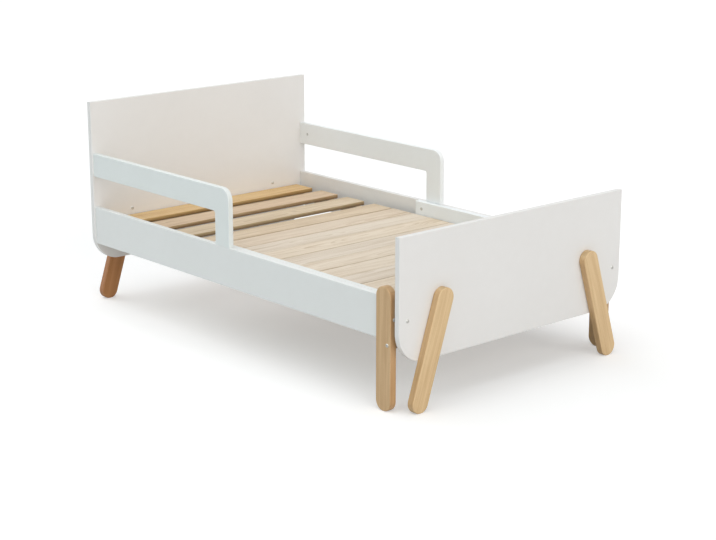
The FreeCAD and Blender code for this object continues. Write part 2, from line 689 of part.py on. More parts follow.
def head_fasteners():
    rail_bolt = "board_thickness + nut_inset + bolt_reach"
    return [
        leg_bolts("head_leg_bolts", HALF_LENGTH, "+y"),
        bolts("head_rail_bolts", rail_bolt, both_sides(RAIL_MIDDLE, BOARD_FACE, RAIL_AXIS, "-y")),
        bolts("mid_leg_bolts", "leg_width + nut_inset + bolt_reach",
              both_sides(RAIL_MIDDLE, f"mid_leg_gap - {HALF_LENGTH}", RAIL_AXIS, "+y")),
        bolts("guard_bolts", "board_thickness + guard_nut_inset + bolt_reach",
              both_sides(RAIL_MIDDLE, BOARD_FACE, GUARD_BOLT, "-y")),
        bolts("guard_post_bolts", "rail_height + post_bolt_bite",
              both_sides(RAIL_MIDDLE, POST_PLACE, "rail_bottom", "+z")),
        bolts("beam_bolts", "leg_thickness + beam_bolt_bite",
              [(f"{side} * ({RAIL_INSIDE} + leg_thickness)", BEAM_PLACE, BEAM_AXIS, inward(side))
               for side, name in SIDES]),
        head_barrel_nuts(),
        head_dowels(),
    ]


def head_barrel_nuts():
    places = []
    for side, name in SIDES:
        inside = f"{side} * {RAIL_INSIDE}"
        aim = outward(side)
        places.append((inside, f"{HALF_LENGTH} - nut_inset", RAIL_AXIS, aim))
        places.append((inside, f"{FOOT_END} + nut_inset", RAIL_AXIS, aim))
        places.append((inside, f"{HALF_LENGTH} - guard_nut_inset", GUARD_BOLT, aim))
    return barrel_nuts("head_barrel_nuts", places)


def head_dowels():
    at_board = f"{HALF_LENGTH} - dowel_length + dowel_board_depth"
    return dowels("head_dowels", [
        *both_sides(RAIL_MIDDLE, at_board, DOWEL_AXIS, "+y"),
        *both_sides(RAIL_MIDDLE, at_board, GUARD_DOWEL, "+y"),
        *both_sides(RAIL_MIDDLE, f"{FOOT_END} - dowel_board_depth", DOWEL_AXIS, "+y"),
        *both_sides(RAIL_MIDDLE, f"{POST_PLACE} + post_dowel_shift", f"{RAIL_TOP} - dowel_length / 2", "+z"),
    ])


def foot_fasteners():
    guide_y = f"{INNER_RAIL_LENGTH} - guide_inset - {HALF_LENGTH}"
    guide_z = f"{RAIL_TOP} - guide_drop"
    guides = [(f"{side} * {INNER_INSIDE}", guide_y, guide_z, outward(side)) for side, name in SIDES]
    in_groove = [(f"{side} * {RAIL_INSIDE}", guide_y, guide_z, outward(side)) for side, name in SIDES]
    nuts = [(f"{side} * {INNER_INSIDE}", f"nut_inset - {HALF_LENGTH}", RAIL_AXIS, outward(side))
            for side, name in SIDES]
    at_board = f"-{HALF_LENGTH} - dowel_board_depth"
    return [
        leg_bolts("foot_leg_bolts", f"-{HALF_LENGTH}", "-y"),
        bolts("foot_rail_bolts", "board_thickness + nut_inset + bolt_reach",
              both_sides(INNER_MIDDLE, f"-{BOARD_FACE}", RAIL_AXIS, "+y")),
        barrel_nuts("foot_barrel_nuts", nuts),
        dowels("foot_dowels", both_sides(INNER_MIDDLE, at_board, DOWEL_AXIS, "+y")),
        bolts("guide_bolts", "rail_thickness + rail_play + bush_length", guides),
        bushes("guide_bushes", in_groove),
    ]


def build():
    """Every node of the bed, in the order in which it is put together."""
    nodes = [headboard(), footboard()]
    for side, name in SIDES:
        nodes.append(outer_rail(side, name))
        nodes.append(inner_rail(side, name))
        nodes.append(guard(side, name))
        nodes.append(splayed_leg("head", side, name))
        nodes.append(splayed_leg("foot", side, name))
        nodes.append(mid_leg(side, name))
        nodes.append(bearer(side, name))
        nodes.append(ledge(side, name))
    nodes.append(cross_beam())
    nodes.append(head_ledger())
    nodes.extend(slat(number) for number in range(1, SLAT_COUNT + 1))
    nodes.extend(head_fasteners())
    nodes.extend(foot_fasteners())
    doc.recompute()
    return nodes


def check(nodes):
    """Stops if a feature failed, a pocket cut nothing or a shape is no good."""
    for item in doc.Objects:
        if "Invalid" in item.State or "Error" in item.State:
            raise RuntimeError(f"{item.Label} failed: {item.State}")
        if item.TypeId == "PartDesign::Pocket" and item.Shape.Volume >= item.BaseFeature.Shape.Volume:
            owner = item.getParentGeoFeatureGroup().Label
            raise RuntimeError(f"{owner}: {item.Profile[0].Label} cuts nothing")
    for node in nodes:
        if node.Shape.isNull() or not node.Shape.isValid():
            raise RuntimeError(f"{node.Label} has no valid shape")


def main():
    nodes = build()
    check(nodes)
    os.makedirs("parts", exist_ok=True)
    for node in nodes:
        node.Shape.exportStep(f"parts/{node.Label}.step")
    print(len(nodes), "nodes,", sum(len(node.Shape.Solids) for node in nodes), "solids")


main()
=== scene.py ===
"""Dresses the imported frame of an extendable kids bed: lacquer, wood, fittings, tapes and a plain studio."""

import json
import math

import bmesh
import bpy
from mathutils import Euler, Matrix, Vector


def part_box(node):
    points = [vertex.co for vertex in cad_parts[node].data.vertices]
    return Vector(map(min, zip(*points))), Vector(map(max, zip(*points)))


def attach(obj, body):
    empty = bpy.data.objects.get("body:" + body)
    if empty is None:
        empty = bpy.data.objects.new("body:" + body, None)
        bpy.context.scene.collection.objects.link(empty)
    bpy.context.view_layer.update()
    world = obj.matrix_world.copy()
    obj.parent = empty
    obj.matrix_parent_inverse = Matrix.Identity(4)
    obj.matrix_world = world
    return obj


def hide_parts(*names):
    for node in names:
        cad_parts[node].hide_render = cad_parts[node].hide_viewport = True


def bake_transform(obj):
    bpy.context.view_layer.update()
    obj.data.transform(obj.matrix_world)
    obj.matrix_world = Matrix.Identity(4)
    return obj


bl_info = {
    "name": "Extendable Kids Bed",
    "version": (1, 0, 0),
    "blender": (4, 5, 0),
    "location": "View3D > Sidebar > Kids Bed",
    "description": "Finishes, fittings and studio for a bed whose foot half slides out",
    "category": "Object",
}

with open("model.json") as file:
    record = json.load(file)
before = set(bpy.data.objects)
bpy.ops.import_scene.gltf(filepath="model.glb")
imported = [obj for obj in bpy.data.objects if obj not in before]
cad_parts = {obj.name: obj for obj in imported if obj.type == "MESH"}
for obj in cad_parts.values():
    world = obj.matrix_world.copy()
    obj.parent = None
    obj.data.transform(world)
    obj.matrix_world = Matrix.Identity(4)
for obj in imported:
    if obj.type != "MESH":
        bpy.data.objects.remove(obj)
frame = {"nodes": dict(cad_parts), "record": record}

PICTURE_WIDTH = 716
SIDES = ("left", "right")
BOARDS = ("headboard", "footboard")
RAILS = tuple(f"{kind}_{side}" for kind in ("side_rail", "inner_rail", "guard") for side in SIDES)
SPLAYED_LEGS = tuple(f"{end}_leg_{side}" for end in ("head", "foot") for side in SIDES)
MID_LEGS = tuple(f"mid_leg_{side}" for side in SIDES)
LONG_BATTENS = tuple(f"{kind}_{side}" for kind in ("bearer", "slat_ledge") for side in SIDES)
CROSS_BATTENS = ("cross_beam", "head_ledger")
SLATS = sorted(name for name in frame["nodes"] if name.startswith("slat_") and name[5:].isdigit())
FIXED_SLATS = 4
BOLT_GROUPS, NUT_GROUPS, DOWEL_GROUPS = [
    sorted(name for name in frame["nodes"] if name.endswith(ending))
    for ending in ("_bolts", "_barrel_nuts", "_dowels")]
BODY_OF = {node: body for body, nodes in frame["record"]["behaviour"]["bodies"].items() for node in nodes}
LEG_WIDTH = (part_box("mid_leg_left")[1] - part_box("mid_leg_left")[0]).y

# Tints of single pieces, which multiply the colour of their material
PLAIN = (1.0, 1.0, 1.0)
# The head legs' tint is painted shade, dark and red-brown as under the headboard
LEG_TONES_AND_SHADE = {"head": (0.62, 0.40, 0.27), "foot": PLAIN, "mid": (0.86, 0.80, 0.77)}
BATTEN_TONE = (0.96, 0.93, 0.88)
SLAT_TONES = {1: (1.16, 1.12, 1.03), 2: (1.06, 0.93, 0.82), 3: (1.05, 0.995, 0.91), 4: (1.025, 0.957, 0.88),
              5: (1.075, 1.035, 1.025)}
# Painted light: each white piece gets a tint standing in for the light on it, warmer and a little darker on
# the boards, cooler on the left pieces, brighter on the right ones
LACQUER_PAINTED_LIGHT = {"headboard": (0.985, 0.97, 0.965), "footboard": (0.98, 0.965, 0.96),
                 "side_rail_left": (0.985, 1.0, 1.0), "inner_rail_left": (0.985, 1.0, 1.0),
                 "guard_left": (0.965, 1.01, 1.01), "side_rail_right": (1.03, 1.02, 1.02),
                 "inner_rail_right": (1.09, 1.12, 1.15), "guard_right": (1.11, 1.13, 1.15)}

# Seeds of the woods' patterns: the first piece's, and the step from piece to piece
LEG_SEEDS = (1.3, 2.9)
BATTEN_SEEDS = (31.0, 3.1)
SLAT_SEEDS = (2.7, 5.3)
DOWEL_SEED = 3.0

# The slats' narrow faces carry painted shade, darker towards the underside: their lower and upper level, the
# tints there, and how much of the tint shows
SLAT_LEVELS = tuple(corner.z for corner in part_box(SLATS[1]))
EDGE_SHADE_TINTS = ((0.28, 0.22, 0.16), (0.76, 0.69, 0.53))
FULL_EDGE_SHADE = 1.0
LIGHT_EDGE_SHADE = 0.35
FULL_SHADE_SLATS = 3

BOLT_ROUGHNESS = 0.34
NUT_ROUGHNESS = 0.42

# Shapes: the angles that count as flat and as an edge, points per ring, and lengths in metres
FLAT_ANGLE = math.radians(0.5)
EDGE_ANGLE = math.radians(32)
DOWEL_EDGE = math.radians(80)
ROUND = 24
SAME_POINT = 1e-6
WELD_REACH = 0.00001
BUSH_EDGE = 0.0003
BOARD_EDGE_SHARE = 0.6
# HAIR keeps two faces from lying in one plane
HAIR = 0.0002
# The blade that cuts a nut's slot: twice its depth, its width, and more than its length
NUT_BLADE = (0.0024, 0.0016, 0.012)

# Screws: their places along ledges, ledger and last slat, as shares of the length
LEDGE_SCREWS = (0.06, 0.28, 0.5, 0.72, 0.94)
LEDGER_SCREWS = (0.12, 0.37, 0.63, 0.88)
LAST_SLAT_SCREWS = (0.25, 0.75)

# Tapes: place as a share of the slats' half length, lap under each slat, reach past the gap, slack
TAPE_PLACE = 0.5
TAPE_LAP = 0.03
TAPE_REACH = 0.004
TAPE_SLACK = 0.009

# Lamps: setting, where the light comes from, how wide it is in degrees, and its colour
LAMPS = (
    ("overhead", (-0.25, 0.12, 1.0), 84, (0.985, 1.0, 1.01)),
    ("front", (-0.15, -1.0, 0.3), 60, (1.0, 0.985, 0.955)),
    ("back", (0.0, 1.0, 0.4), 60, (1.0, 1.0, 1.0)),
    ("side", (-1.0, 0.1, 0.35), 60, (0.35, 0.95, 1.05)),
)
LAMP_DISTANCE = 3
FLOOR_REACH = 40
CAMERA_REACH = 200

MADE = {}


# Settings a user would change

class LacquerSettings(bpy.types.PropertyGroup):
    colour: bpy.props.FloatVectorProperty(
        name="Colour", description="White of the boards, rails and guards", subtype="COLOR",
        size=3, min=0, max=1, default=(0.84, 0.84, 0.83))
    shade: bpy.props.FloatVectorProperty(
        name="Shade", description="Slightly deeper white that the lacquer drifts to", subtype="COLOR",
        size=3, min=0, max=1, default=(0.82, 0.818, 0.805))
    roughness: bpy.props.FloatProperty(
        name="Roughness", description="Satin gloss of the lacquer", min=0, max=1, default=0.42,
        subtype="FACTOR")
    orange_peel: bpy.props.FloatProperty(
        name="Orange peel", description="Height of the spray coat's ripple", min=0, max=0.001,
        default=0.00002, unit="LENGTH", precision=5)
    edge_radius: bpy.props.FloatProperty(
        name="Edge radius", description="Extra rounding of the eased edges", min=0, max=0.002,
        default=0.0006, unit="LENGTH", precision=4)


class WoodSettings(bpy.types.PropertyGroup):
    beech_light: bpy.props.FloatVectorProperty(
        name="Beech, light", description="Pale figure of the legs", subtype="COLOR",
        size=3, min=0, max=1, default=(0.77, 0.56, 0.315))
    beech_dark: bpy.props.FloatVectorProperty(
        name="Beech, dark", description="Dark figure of the legs", subtype="COLOR",
        size=3, min=0, max=1, default=(0.60, 0.39, 0.19))
    pine_light: bpy.props.FloatVectorProperty(
        name="Pine, early wood", description="Pale part of the slats' rings", subtype="COLOR",
        size=3, min=0, max=1, default=(0.70, 0.61, 0.49))
    pine_dark: bpy.props.FloatVectorProperty(
        name="Pine, late wood", description="Dark lines of the slats' rings", subtype="COLOR",
        size=3, min=0, max=1, default=(0.52, 0.41, 0.28))
    golden_light: bpy.props.FloatVectorProperty(
        name="Golden slat, early wood", description="Pale part of the golden slat's rings", subtype="COLOR",
        size=3, min=0, max=1, default=(0.70, 0.52, 0.29))
    golden_dark: bpy.props.FloatVectorProperty(
        name="Golden slat, late wood", description="Dark lines of the golden slat's rings", subtype="COLOR",
        size=3, min=0, max=1, default=(0.55, 0.35, 0.17))
    ring_spacing: bpy.props.FloatProperty(
        name="Ring spacing", description="Distance between the pine's growth rings", min=0.001, max=0.01,
        default=0.0042, unit="LENGTH", precision=4)
    leg_radius: bpy.props.FloatProperty(
        name="Leg edge radius", description="Extra rounding of the legs' broken edges", min=0, max=0.003,
        default=0.001, unit="LENGTH", precision=4)
    slat_radius: bpy.props.FloatProperty(
        name="Slat edge radius", description="Extra rounding of the slats' broken edges", min=0, max=0.003,
        default=0.0009, unit="LENGTH", precision=4)


class FittingSettings(bpy.types.PropertyGroup):
    steel: bpy.props.FloatVectorProperty(
        name="Steel", description="Zinc-plated bolts, screws and nuts", subtype="COLOR",
        size=3, min=0, max=1, default=(0.66, 0.66, 0.65))
    nylon: bpy.props.FloatVectorProperty(
        name="Nylon", description="Bushes and tapes", subtype="COLOR",
        size=3, min=0, max=1, default=(0.80, 0.79, 0.74))
    socket_width: bpy.props.FloatProperty(
        name="Socket width", description="Hex socket of the bolts, across flats", min=0.002, max=0.006,
        default=0.004, unit="LENGTH", precision=4)
    thread_pitch: bpy.props.FloatProperty(
        name="Thread pitch", description="Pitch of the bolts' threads", min=0.0005, max=0.002,
        default=0.001, unit="LENGTH", precision=4)
    thread_length: bpy.props.FloatProperty(
        name="Thread length", description="Threaded end of each bolt", min=0.005, max=0.05,
        default=0.022, unit="LENGTH", precision=4)
    screw_diameter: bpy.props.FloatProperty(
        name="Screw head", description="Diameter of the wood screws' heads", min=0.004, max=0.01,
        default=0.008, unit="LENGTH", precision=4)
    tape_width: bpy.props.FloatProperty(
        name="Tape width", description="Webbing that spaces the slats", min=0.01, max=0.05,
        default=0.02, unit="LENGTH", precision=4)
    tape_thickness: bpy.props.FloatProperty(
        name="Tape thickness", description="Webbing that spaces the slats", min=0.0005, max=0.003,
        default=0.0012, unit="LENGTH", precision=4)


class StageSettings(bpy.types.PropertyGroup):
    floor: bpy.props.FloatVectorProperty(
        name="Floor", description="Pale studio floor", subtype="COLOR",
        size=3, min=0, max=1, default=(0.75, 0.75, 0.75))
    floor_lift: bpy.props.FloatProperty(
        name="Floor lift", description="Glow that only the camera sees, so that the open floor is white",
        min=0, max=1, default=0.34)
    daylight: bpy.props.FloatProperty(
        name="Surround", description="Even light from all round", min=0, max=2, default=0.245)
    overhead: bpy.props.FloatProperty(
        name="Overhead light", description="Wide soft light from above", min=0, max=10, default=1.54)
    front: bpy.props.FloatProperty(
        name="Front light", description="Wide soft light from the foot end", min=0, max=10, default=1.60)
    back: bpy.props.FloatProperty(
        name="Back light", description="Wide soft light from the head end", min=0, max=10, default=0.75)
    side: bpy.props.FloatProperty(
        name="Side light", description="Wide soft light from the left", min=0, max=10, default=0.18)
    camera_place: bpy.props.FloatVectorProperty(
        name="Camera", description="Place of the camera", subtype="TRANSLATION", unit="LENGTH",
        size=3, default=(-3.7405, -4.3173, 1.7482))
    camera_turn: bpy.props.FloatProperty(
        name="Camera turn", description="From the headboard towards the right", subtype="ANGLE",
        unit="ROTATION", default=math.radians(41.4255))
    camera_dip: bpy.props.FloatProperty(
        name="Camera dip", description="Below the horizon", subtype="ANGLE",
        unit="ROTATION", default=math.radians(15.196))
    focal_pixels: bpy.props.FloatProperty(
        name="Focal length", description="In pixels of a picture 716 pixels wide", subtype="PIXEL",
        min=100, max=10000, default=1699.34)


class KidsBedSettings(bpy.types.PropertyGroup):
    lacquer: bpy.props.PointerProperty(
        type=LacquerSettings, name="Lacquer", description="White pieces")
    wood: bpy.props.PointerProperty(
        type=WoodSettings, name="Wood", description="Legs, slats and battens")
    fittings: bpy.props.PointerProperty(
        type=FittingSettings, name="Fittings", description="Metal and nylon")
    stage: bpy.props.PointerProperty(
        type=StageSettings, name="Stage", description="Floor, lamps and camera")


# Node materials

class Network:
    """A node tree in the making."""

    def __init__(self, tree):
        self.tree = tree

    def put(self, socket, value):
        """Sets an input, or links it where value is another node's output."""
        if isinstance(value, bpy.types.NodeSocket):
            self.tree.links.new(value, socket)
        else:
            socket.default_value = value

    def add(self, kind, inputs=(), **settings):
        node = self.tree.nodes.new("ShaderNode" + kind)
        for name, value in settings.items():
            setattr(node, name, value)
        for key, value in dict(inputs).items():
            self.put(node.inputs[key], value)
        return node

    def math(self, operation, first, second=0.0, third=0.0, clamp=False):
        inputs = {0: first, 1: second, 2: third}
        return self.add("Math", inputs, operation=operation, use_clamp=clamp).outputs[0]

    def spread(self, value, low, high, to_low=0.0, to_high=1.0, smooth=False):
        """Maps value from low..high to to_low..to_high, clamped."""
        inputs = {"Value": value, "From Min": low, "From Max": high, "To Min": to_low, "To Max": to_high}
        kind = "SMOOTHSTEP" if smooth else "LINEAR"
        return self.add("MapRange", inputs, interpolation_type=kind).outputs["Result"]


class Finish(Network):
    """A node material in the making, with its shader."""

    def __init__(self, name, **constants):
        self.material = bpy.data.materials.new(name)
        self.material.use_nodes = True
        super().__init__(self.material.node_tree)
        self.shader = self.tree.nodes["Principled BSDF"]
        for socket, value in constants.items():
            self.shader.inputs[socket.replace("_", " ")].default_value = value

    def place(self):
        """The point on the surface, in metres."""
        return self.add("TexCoord").outputs["Object"]

    def custom(self, name, output):
        """A custom property of the object that wears the material."""
        return self.add("Attribute", attribute_type="OBJECT", attribute_name=name).outputs[output]

    def axes(self, vector):
        return self.add("SeparateXYZ", {0: vector}).outputs

    def vector(self, operation, first, second):
        return self.add("VectorMath", {0: first, 1: second}, operation=operation).outputs[0]

    def noise(self, vector, scale=1.0, detail=2.0, roughness=0.5, distortion=0.0, output="Fac"):
        inputs = {"Vector": vector, "Scale": scale, "Detail": detail, "Roughness": roughness,
                  "Distortion": distortion}
        return self.add("TexNoise", inputs).outputs[output]

    def fibres(self, place, along, across, **settings):
        """Noise drawn out along the grain; along and across say how fast it changes, per metre."""
        return self.noise(self.vector("MULTIPLY", place, (along, across, across)), **settings)

    def mix(self, factor, first, second, blend="MIX"):
        node = self.add("Mix", data_type="RGBA", blend_type=blend)
        for index, value in ((0, factor), (6, first), (7, second)):
            if index and not isinstance(value, bpy.types.NodeSocket):
                value = (*value[:3], 1)
            self.put(node.inputs[index], value)
        return node.outputs[2]

    def tinted(self, colour, name):
        """Multiplies colour by the tint that the object carries under that name."""
        return self.mix(1.0, colour, self.custom(name, "Color"), blend="MULTIPLY")

    def bump(self, height, distance, strength):
        inputs = {"Height": height, "Distance": distance, "Strength": strength}
        return self.add("Bump", inputs).outputs["Normal"]

    def finish(self, colour, roughness, normal):
        for name, value in (("Base Color", colour), ("Roughness", roughness), ("Normal", normal)):
            self.put(self.shader.inputs[name], value)
        return self.material


def dimmed(colour, *shares):
    """The colour times one share, or times one for each of its parts."""
    if len(shares) == 1:
        shares *= 3
    return tuple(part * share for part, share in zip(colour, shares))


def grain_place(finish):
    """Place along, across and through the grain in metres, the board's seed, and how far the surface is
    end grain or a narrow face."""
    turn = finish.custom("grain_turn", "Vector")
    coordinates = finish.add("TexCoord").outputs
    away = finish.vector("SUBTRACT", coordinates["Object"], finish.custom("grain_origin", "Vector"))
    place, normal = [
        finish.add("VectorRotate", {"Vector": vector, "Rotation": turn},
                   rotation_type="EULER_XYZ").outputs["Vector"]
        for vector in (away, coordinates["Normal"])]
    facing = finish.axes(normal)
    end_grain, edge = [finish.spread(finish.math("ABSOLUTE", facing[axis]), 0.6, 0.95, smooth=True)
                       for axis in ("X", "Y")]
    return place, finish.custom("grain_seed", "Fac"), end_grain, edge


def lacquer_material(settings):
    """Sprayed satin white, with a faint drift of shade and a fine ripple."""
    finish = Finish("white_lacquer", Coat_Weight=0.15, Coat_Roughness=0.25, Specular_IOR_Level=0.5)
    place = finish.place()
    drift = finish.noise(place, scale=3.5, detail=3.0, roughness=0.55)
    cloud = finish.noise(place, scale=28.0, detail=4.0, roughness=0.6)
    shade = finish.spread(finish.math("MULTIPLY_ADD", cloud, 0.5, drift), 0.5, 1.0)
    # The piece's tint paints light on the white: warmer, cooler or brighter from piece to piece
    colour = finish.tinted(finish.mix(shade, settings.colour, settings.shade), "lacquer_painted_light")
    peel = finish.noise(place, scale=420.0)
    wave = finish.noise(place, scale=45.0, detail=1.0)
    height = finish.math("MULTIPLY_ADD", wave, 1.5, peel)
    roughness = finish.spread(cloud, 0.3, 0.7, settings.roughness - 0.05, settings.roughness + 0.06)
    return finish.finish(colour, roughness, finish.bump(height, settings.orange_peel, strength=0.6))


def pine_material(name, light, dark, settings):
    """Softwood: growth rings round a wandering pith, fine fibres and a few knots."""
    knot_share, knot_swelling = 0.26, 0.012
    bend_across, bend_through = 0.07, 0.05
    pith_across, pith_through, pith_below = 0.11, 0.06, 0.03
    finish = Finish(name, Specular_IOR_Level=0.35)
    place, seed, end_grain, edge = grain_place(finish)
    shift = finish.add("CombineXYZ", {0: seed, 1: finish.math("MULTIPLY", seed, 1.7)}).outputs[0]
    moved = finish.vector("ADD", place, finish.vector("MULTIPLY", shift, (0.37, 0.0, 0.0)))

    # The pith bends slowly along the board, and lies elsewhere in each
    bend_place = finish.vector("ADD", finish.vector("MULTIPLY", place, (1.9, 0.4, 0.0)), shift)
    wander = finish.noise(bend_place, roughness=0.45, output="Color")
    bend = finish.axes(finish.vector("SUBTRACT", wander, (0.5, 0.5, 0.5)))
    random = finish.add("TexWhiteNoise", {"W": seed}, noise_dimensions="1D").outputs["Color"]
    pith = finish.axes(finish.vector("SUBTRACT", random, (0.5, 0.2, 0.5)))
    axes = finish.axes(place)
    across = finish.math("MULTIPLY_ADD", pith[0], -pith_across, axes[1])
    across = finish.math("MULTIPLY_ADD", bend[0], bend_across, across)
    depth = finish.math("ADD", axes[2], finish.math("MULTIPLY_ADD", pith[1], pith_through, pith_below))
    depth = finish.math("MULTIPLY_ADD", bend[1], bend_through, depth)
    squares = [finish.math("MULTIPLY", part, part) for part in (across, depth)]
    radius = finish.math("SQRT", finish.math("ADD", *squares))

    # The cell's own random colour picks which cells hold a knot
    cell_place = finish.vector("ADD", finish.vector("MULTIPLY", place, (3.1, 12.0, 0.0)), shift)
    cells = finish.add("TexVoronoi", {"Vector": cell_place, "Scale": 1.0, "Randomness": 0.9}).outputs
    cell_value = finish.add("SeparateColor", {0: cells["Color"]}).outputs[0]
    chosen = finish.math("GREATER_THAN", cell_value, 1 - knot_share)
    near_knot, knot = [
        finish.math("MULTIPLY", chosen, finish.spread(cells["Distance"], far, near, smooth=True))
        for far, near in ((0.34, 0.02), (0.075, 0.03))]

    # Late wood is a dark line at the end of each ring
    streak = finish.fibres(moved, 7.0, 190.0, detail=3.0, roughness=0.6)
    swollen = finish.math("MULTIPLY_ADD", near_knot, knot_swelling, radius)
    rings = finish.math("DIVIDE", swollen, settings.ring_spacing)
    ring = finish.math("FRACT", finish.math("MULTIPLY_ADD", streak, 0.35, rings))
    late = finish.math("MULTIPLY", finish.spread(ring, 0.35, 0.92, smooth=True),
                       finish.spread(ring, 1.0, 0.93))
    patch = finish.fibres(moved, 2.2, 14.0)
    fibre = finish.fibres(moved, 16.0, 1300.0, roughness=0.6)
    band = finish.fibres(moved, 1.8, 42.0, detail=3.0, roughness=0.6)
    darkness = finish.math("MULTIPLY", late, finish.spread(patch, 0.3, 0.7, 0.25, 0.75))
    darkness = finish.math("ADD", darkness, finish.spread(fibre, 0.35, 0.75, -0.12, 0.22))
    darkness = finish.math("ADD", darkness, finish.spread(band, 0.38, 0.66, -0.2, 0.36))
    darkness = finish.math("ADD", darkness, finish.spread(streak, 0.35, 0.65, -0.15, 0.28), clamp=True)
    colour = finish.mix(darkness, light, dark)
    for mask, share, deep in ((near_knot, 0.35, dark), (knot, 0.75, dimmed(dark, 0.55)),
                              (end_grain, 0.35, dark)):
        colour = finish.mix(finish.math("MULTIPLY", mask, share), colour, deep)

    # Painted shade: the narrow faces are darkened, most towards the slats' underside
    level = finish.axes(finish.place())[2]
    edge_shade = finish.mix(finish.spread(level, *SLAT_LEVELS, smooth=True), *EDGE_SHADE_TINTS)
    edge_shade_share = finish.math("MULTIPLY", edge, finish.custom("edge_shade_amount", "Fac"))
    colour = finish.tinted(finish.mix(edge_shade_share, colour, edge_shade, blend="MULTIPLY"), "grain_tone_and_shade")
    roughness = finish.spread(finish.math("ADD", fibre, end_grain), 0.3, 1.2, 0.5, 0.78)
    height = finish.math("MULTIPLY_ADD", late, -0.35, finish.math("MULTIPLY", fibre, 0.5))
    return finish.finish(colour, roughness, finish.bump(height, distance=0.00018, strength=0.7))


def beech_material(name, light, dark):
    """Fine even hardwood: soft bands and short dark flecks along the grain."""
    finish = Finish(name, Specular_IOR_Level=0.45, Coat_Weight=0.12, Coat_Roughness=0.35)
    place, seed, end_grain, edge = grain_place(finish)
    moved = finish.vector("ADD", place, seed)
    band = finish.fibres(moved, 3.0, 60.0, detail=3.0, roughness=0.55, distortion=0.4)
    line = finish.fibres(moved, 8.0, 420.0, roughness=0.6)
    fleck = finish.spread(finish.fibres(moved, 170.0, 1500.0, detail=1.0), 0.62, 0.70)
    darkness = finish.math("ADD", finish.spread(band, 0.35, 0.68, 0.0, 0.62),
                           finish.spread(line, 0.38, 0.66, -0.1, 0.28))
    darkness = finish.math("MULTIPLY_ADD", fleck, 0.35, darkness, clamp=True)
    colour = finish.mix(darkness, light, dark)
    colour = finish.mix(finish.math("MULTIPLY", end_grain, 0.4), colour, dimmed(dark, 0.7))
    # Painted shade: the narrow faces are darkened
    colour = finish.mix(edge, colour, (0.87, 0.79, 0.72), blend="MULTIPLY")
    # The piece's tint; on the head legs it is painted shade
    colour = finish.tinted(colour, "grain_tone_and_shade")
    roughness = finish.spread(finish.math("ADD", line, end_grain), 0.3, 1.2, 0.36, 0.6)
    height = finish.math("MULTIPLY_ADD", fleck, -0.5, finish.math("MULTIPLY", line, 0.6))
    return finish.finish(colour, roughness, finish.bump(height, distance=0.00012, strength=0.6))


def steel_material(name, colour, rough):
    """Zinc-plated steel, a little tarnished in clouds."""
    finish = Finish(name, Metallic=1.0)
    place = finish.place()
    cloud = finish.noise(place, scale=260.0, detail=3.0)
    grit = finish.noise(place, scale=2600.0)
    shown = finish.mix(finish.spread(cloud, 0.35, 0.7), colour, dimmed(colour, 0.86, 0.84, 0.78))
    roughness = finish.spread(finish.math("ADD", cloud, grit), 0.7, 1.3, rough - 0.08, rough + 0.1)
    return finish.finish(shown, roughness, finish.bump(grit, distance=0.00003, strength=0.5))


def nylon_material(name, colour):
    finish = Finish(name, Specular_IOR_Level=0.4, Subsurface_Weight=0.1, Subsurface_Scale=0.001)
    place = finish.place()
    cloud = finish.noise(place, scale=150.0, detail=3.0)
    grit = finish.noise(place, scale=1800.0)
    shown = finish.mix(finish.spread(cloud, 0.3, 0.75), colour, dimmed(colour, 0.9))
    roughness = finish.spread(cloud, 0.3, 0.7, 0.45, 0.6)
    return finish.finish(shown, roughness, finish.bump(grit, distance=0.00004, strength=0.5))


def webbing_material(colour):
    """Plain weave of the tapes: ribs across, yarns along."""
    finish = Finish("webbing", Specular_IOR_Level=0.25, Sheen_Weight=0.2)
    place = finish.place()
    axes = finish.axes(place)
    warp, weft = [finish.math("SINE", finish.math("MULTIPLY", axes[axis], 2 * math.pi / pitch))
                  for axis, pitch in ((0, 0.0011), (1, 0.0016))]
    weave = finish.math("MULTIPLY", warp, weft)
    fuzz = finish.noise(place, scale=3000.0)
    raised = finish.spread(finish.math("ADD", weave, fuzz), -1.0, 1.8)
    shown = finish.mix(raised, dimmed(colour, 0.72), colour)
    roughness = finish.spread(fuzz, 0.3, 0.7, 0.75, 0.9)
    return finish.finish(shown, roughness, finish.bump(weave, distance=0.0002, strength=0.8))


def made_once(make, *values):
    """Makes a material for the first operator that asks, and hands it to the later ones."""
    if make not in MADE:
        MADE[make] = make(*values)
    return MADE[make]


def bolt_steel(fittings):
    return made_once(steel_material, "zinc_steel", fittings.steel, BOLT_ROUGHNESS)


# Working with the frame's nodes

def dress(name, material):
    """Gives a CAD node its finish."""
    piece = frame["nodes"][name]
    piece.data.materials.clear()
    piece.data.materials.append(material)
    return piece


def soften(piece, width, segments=2):
    """Rounds a CAD node's edges a little more, with modifiers only."""
    piece.modifiers.new("weld", "WELD").merge_threshold = WELD_REACH
    flat = piece.modifiers.new("one_face_each", "DECIMATE")
    flat.decimate_type = "DISSOLVE"
    flat.angle_limit = FLAT_ANGLE
    bevel = piece.modifiers.new("edges", "BEVEL")
    bevel.width = width
    bevel.segments = segments
    bevel.limit_method = "ANGLE"
    bevel.angle_limit = EDGE_ANGLE
    bevel.use_clamp_overlap = False
    piece.modifiers.new("shading", "WEIGHTED_NORMAL").weight = 100


def lacquer(names, settings, edge_radius):
    """Gives boards or rails their white, each with its own tint of painted light."""
    for name in names:
        piece = dress(name, made_once(lacquer_material, settings))
        piece["lacquer_painted_light"] = LACQUER_PAINTED_LIGHT[name]
        soften(piece, edge_radius)


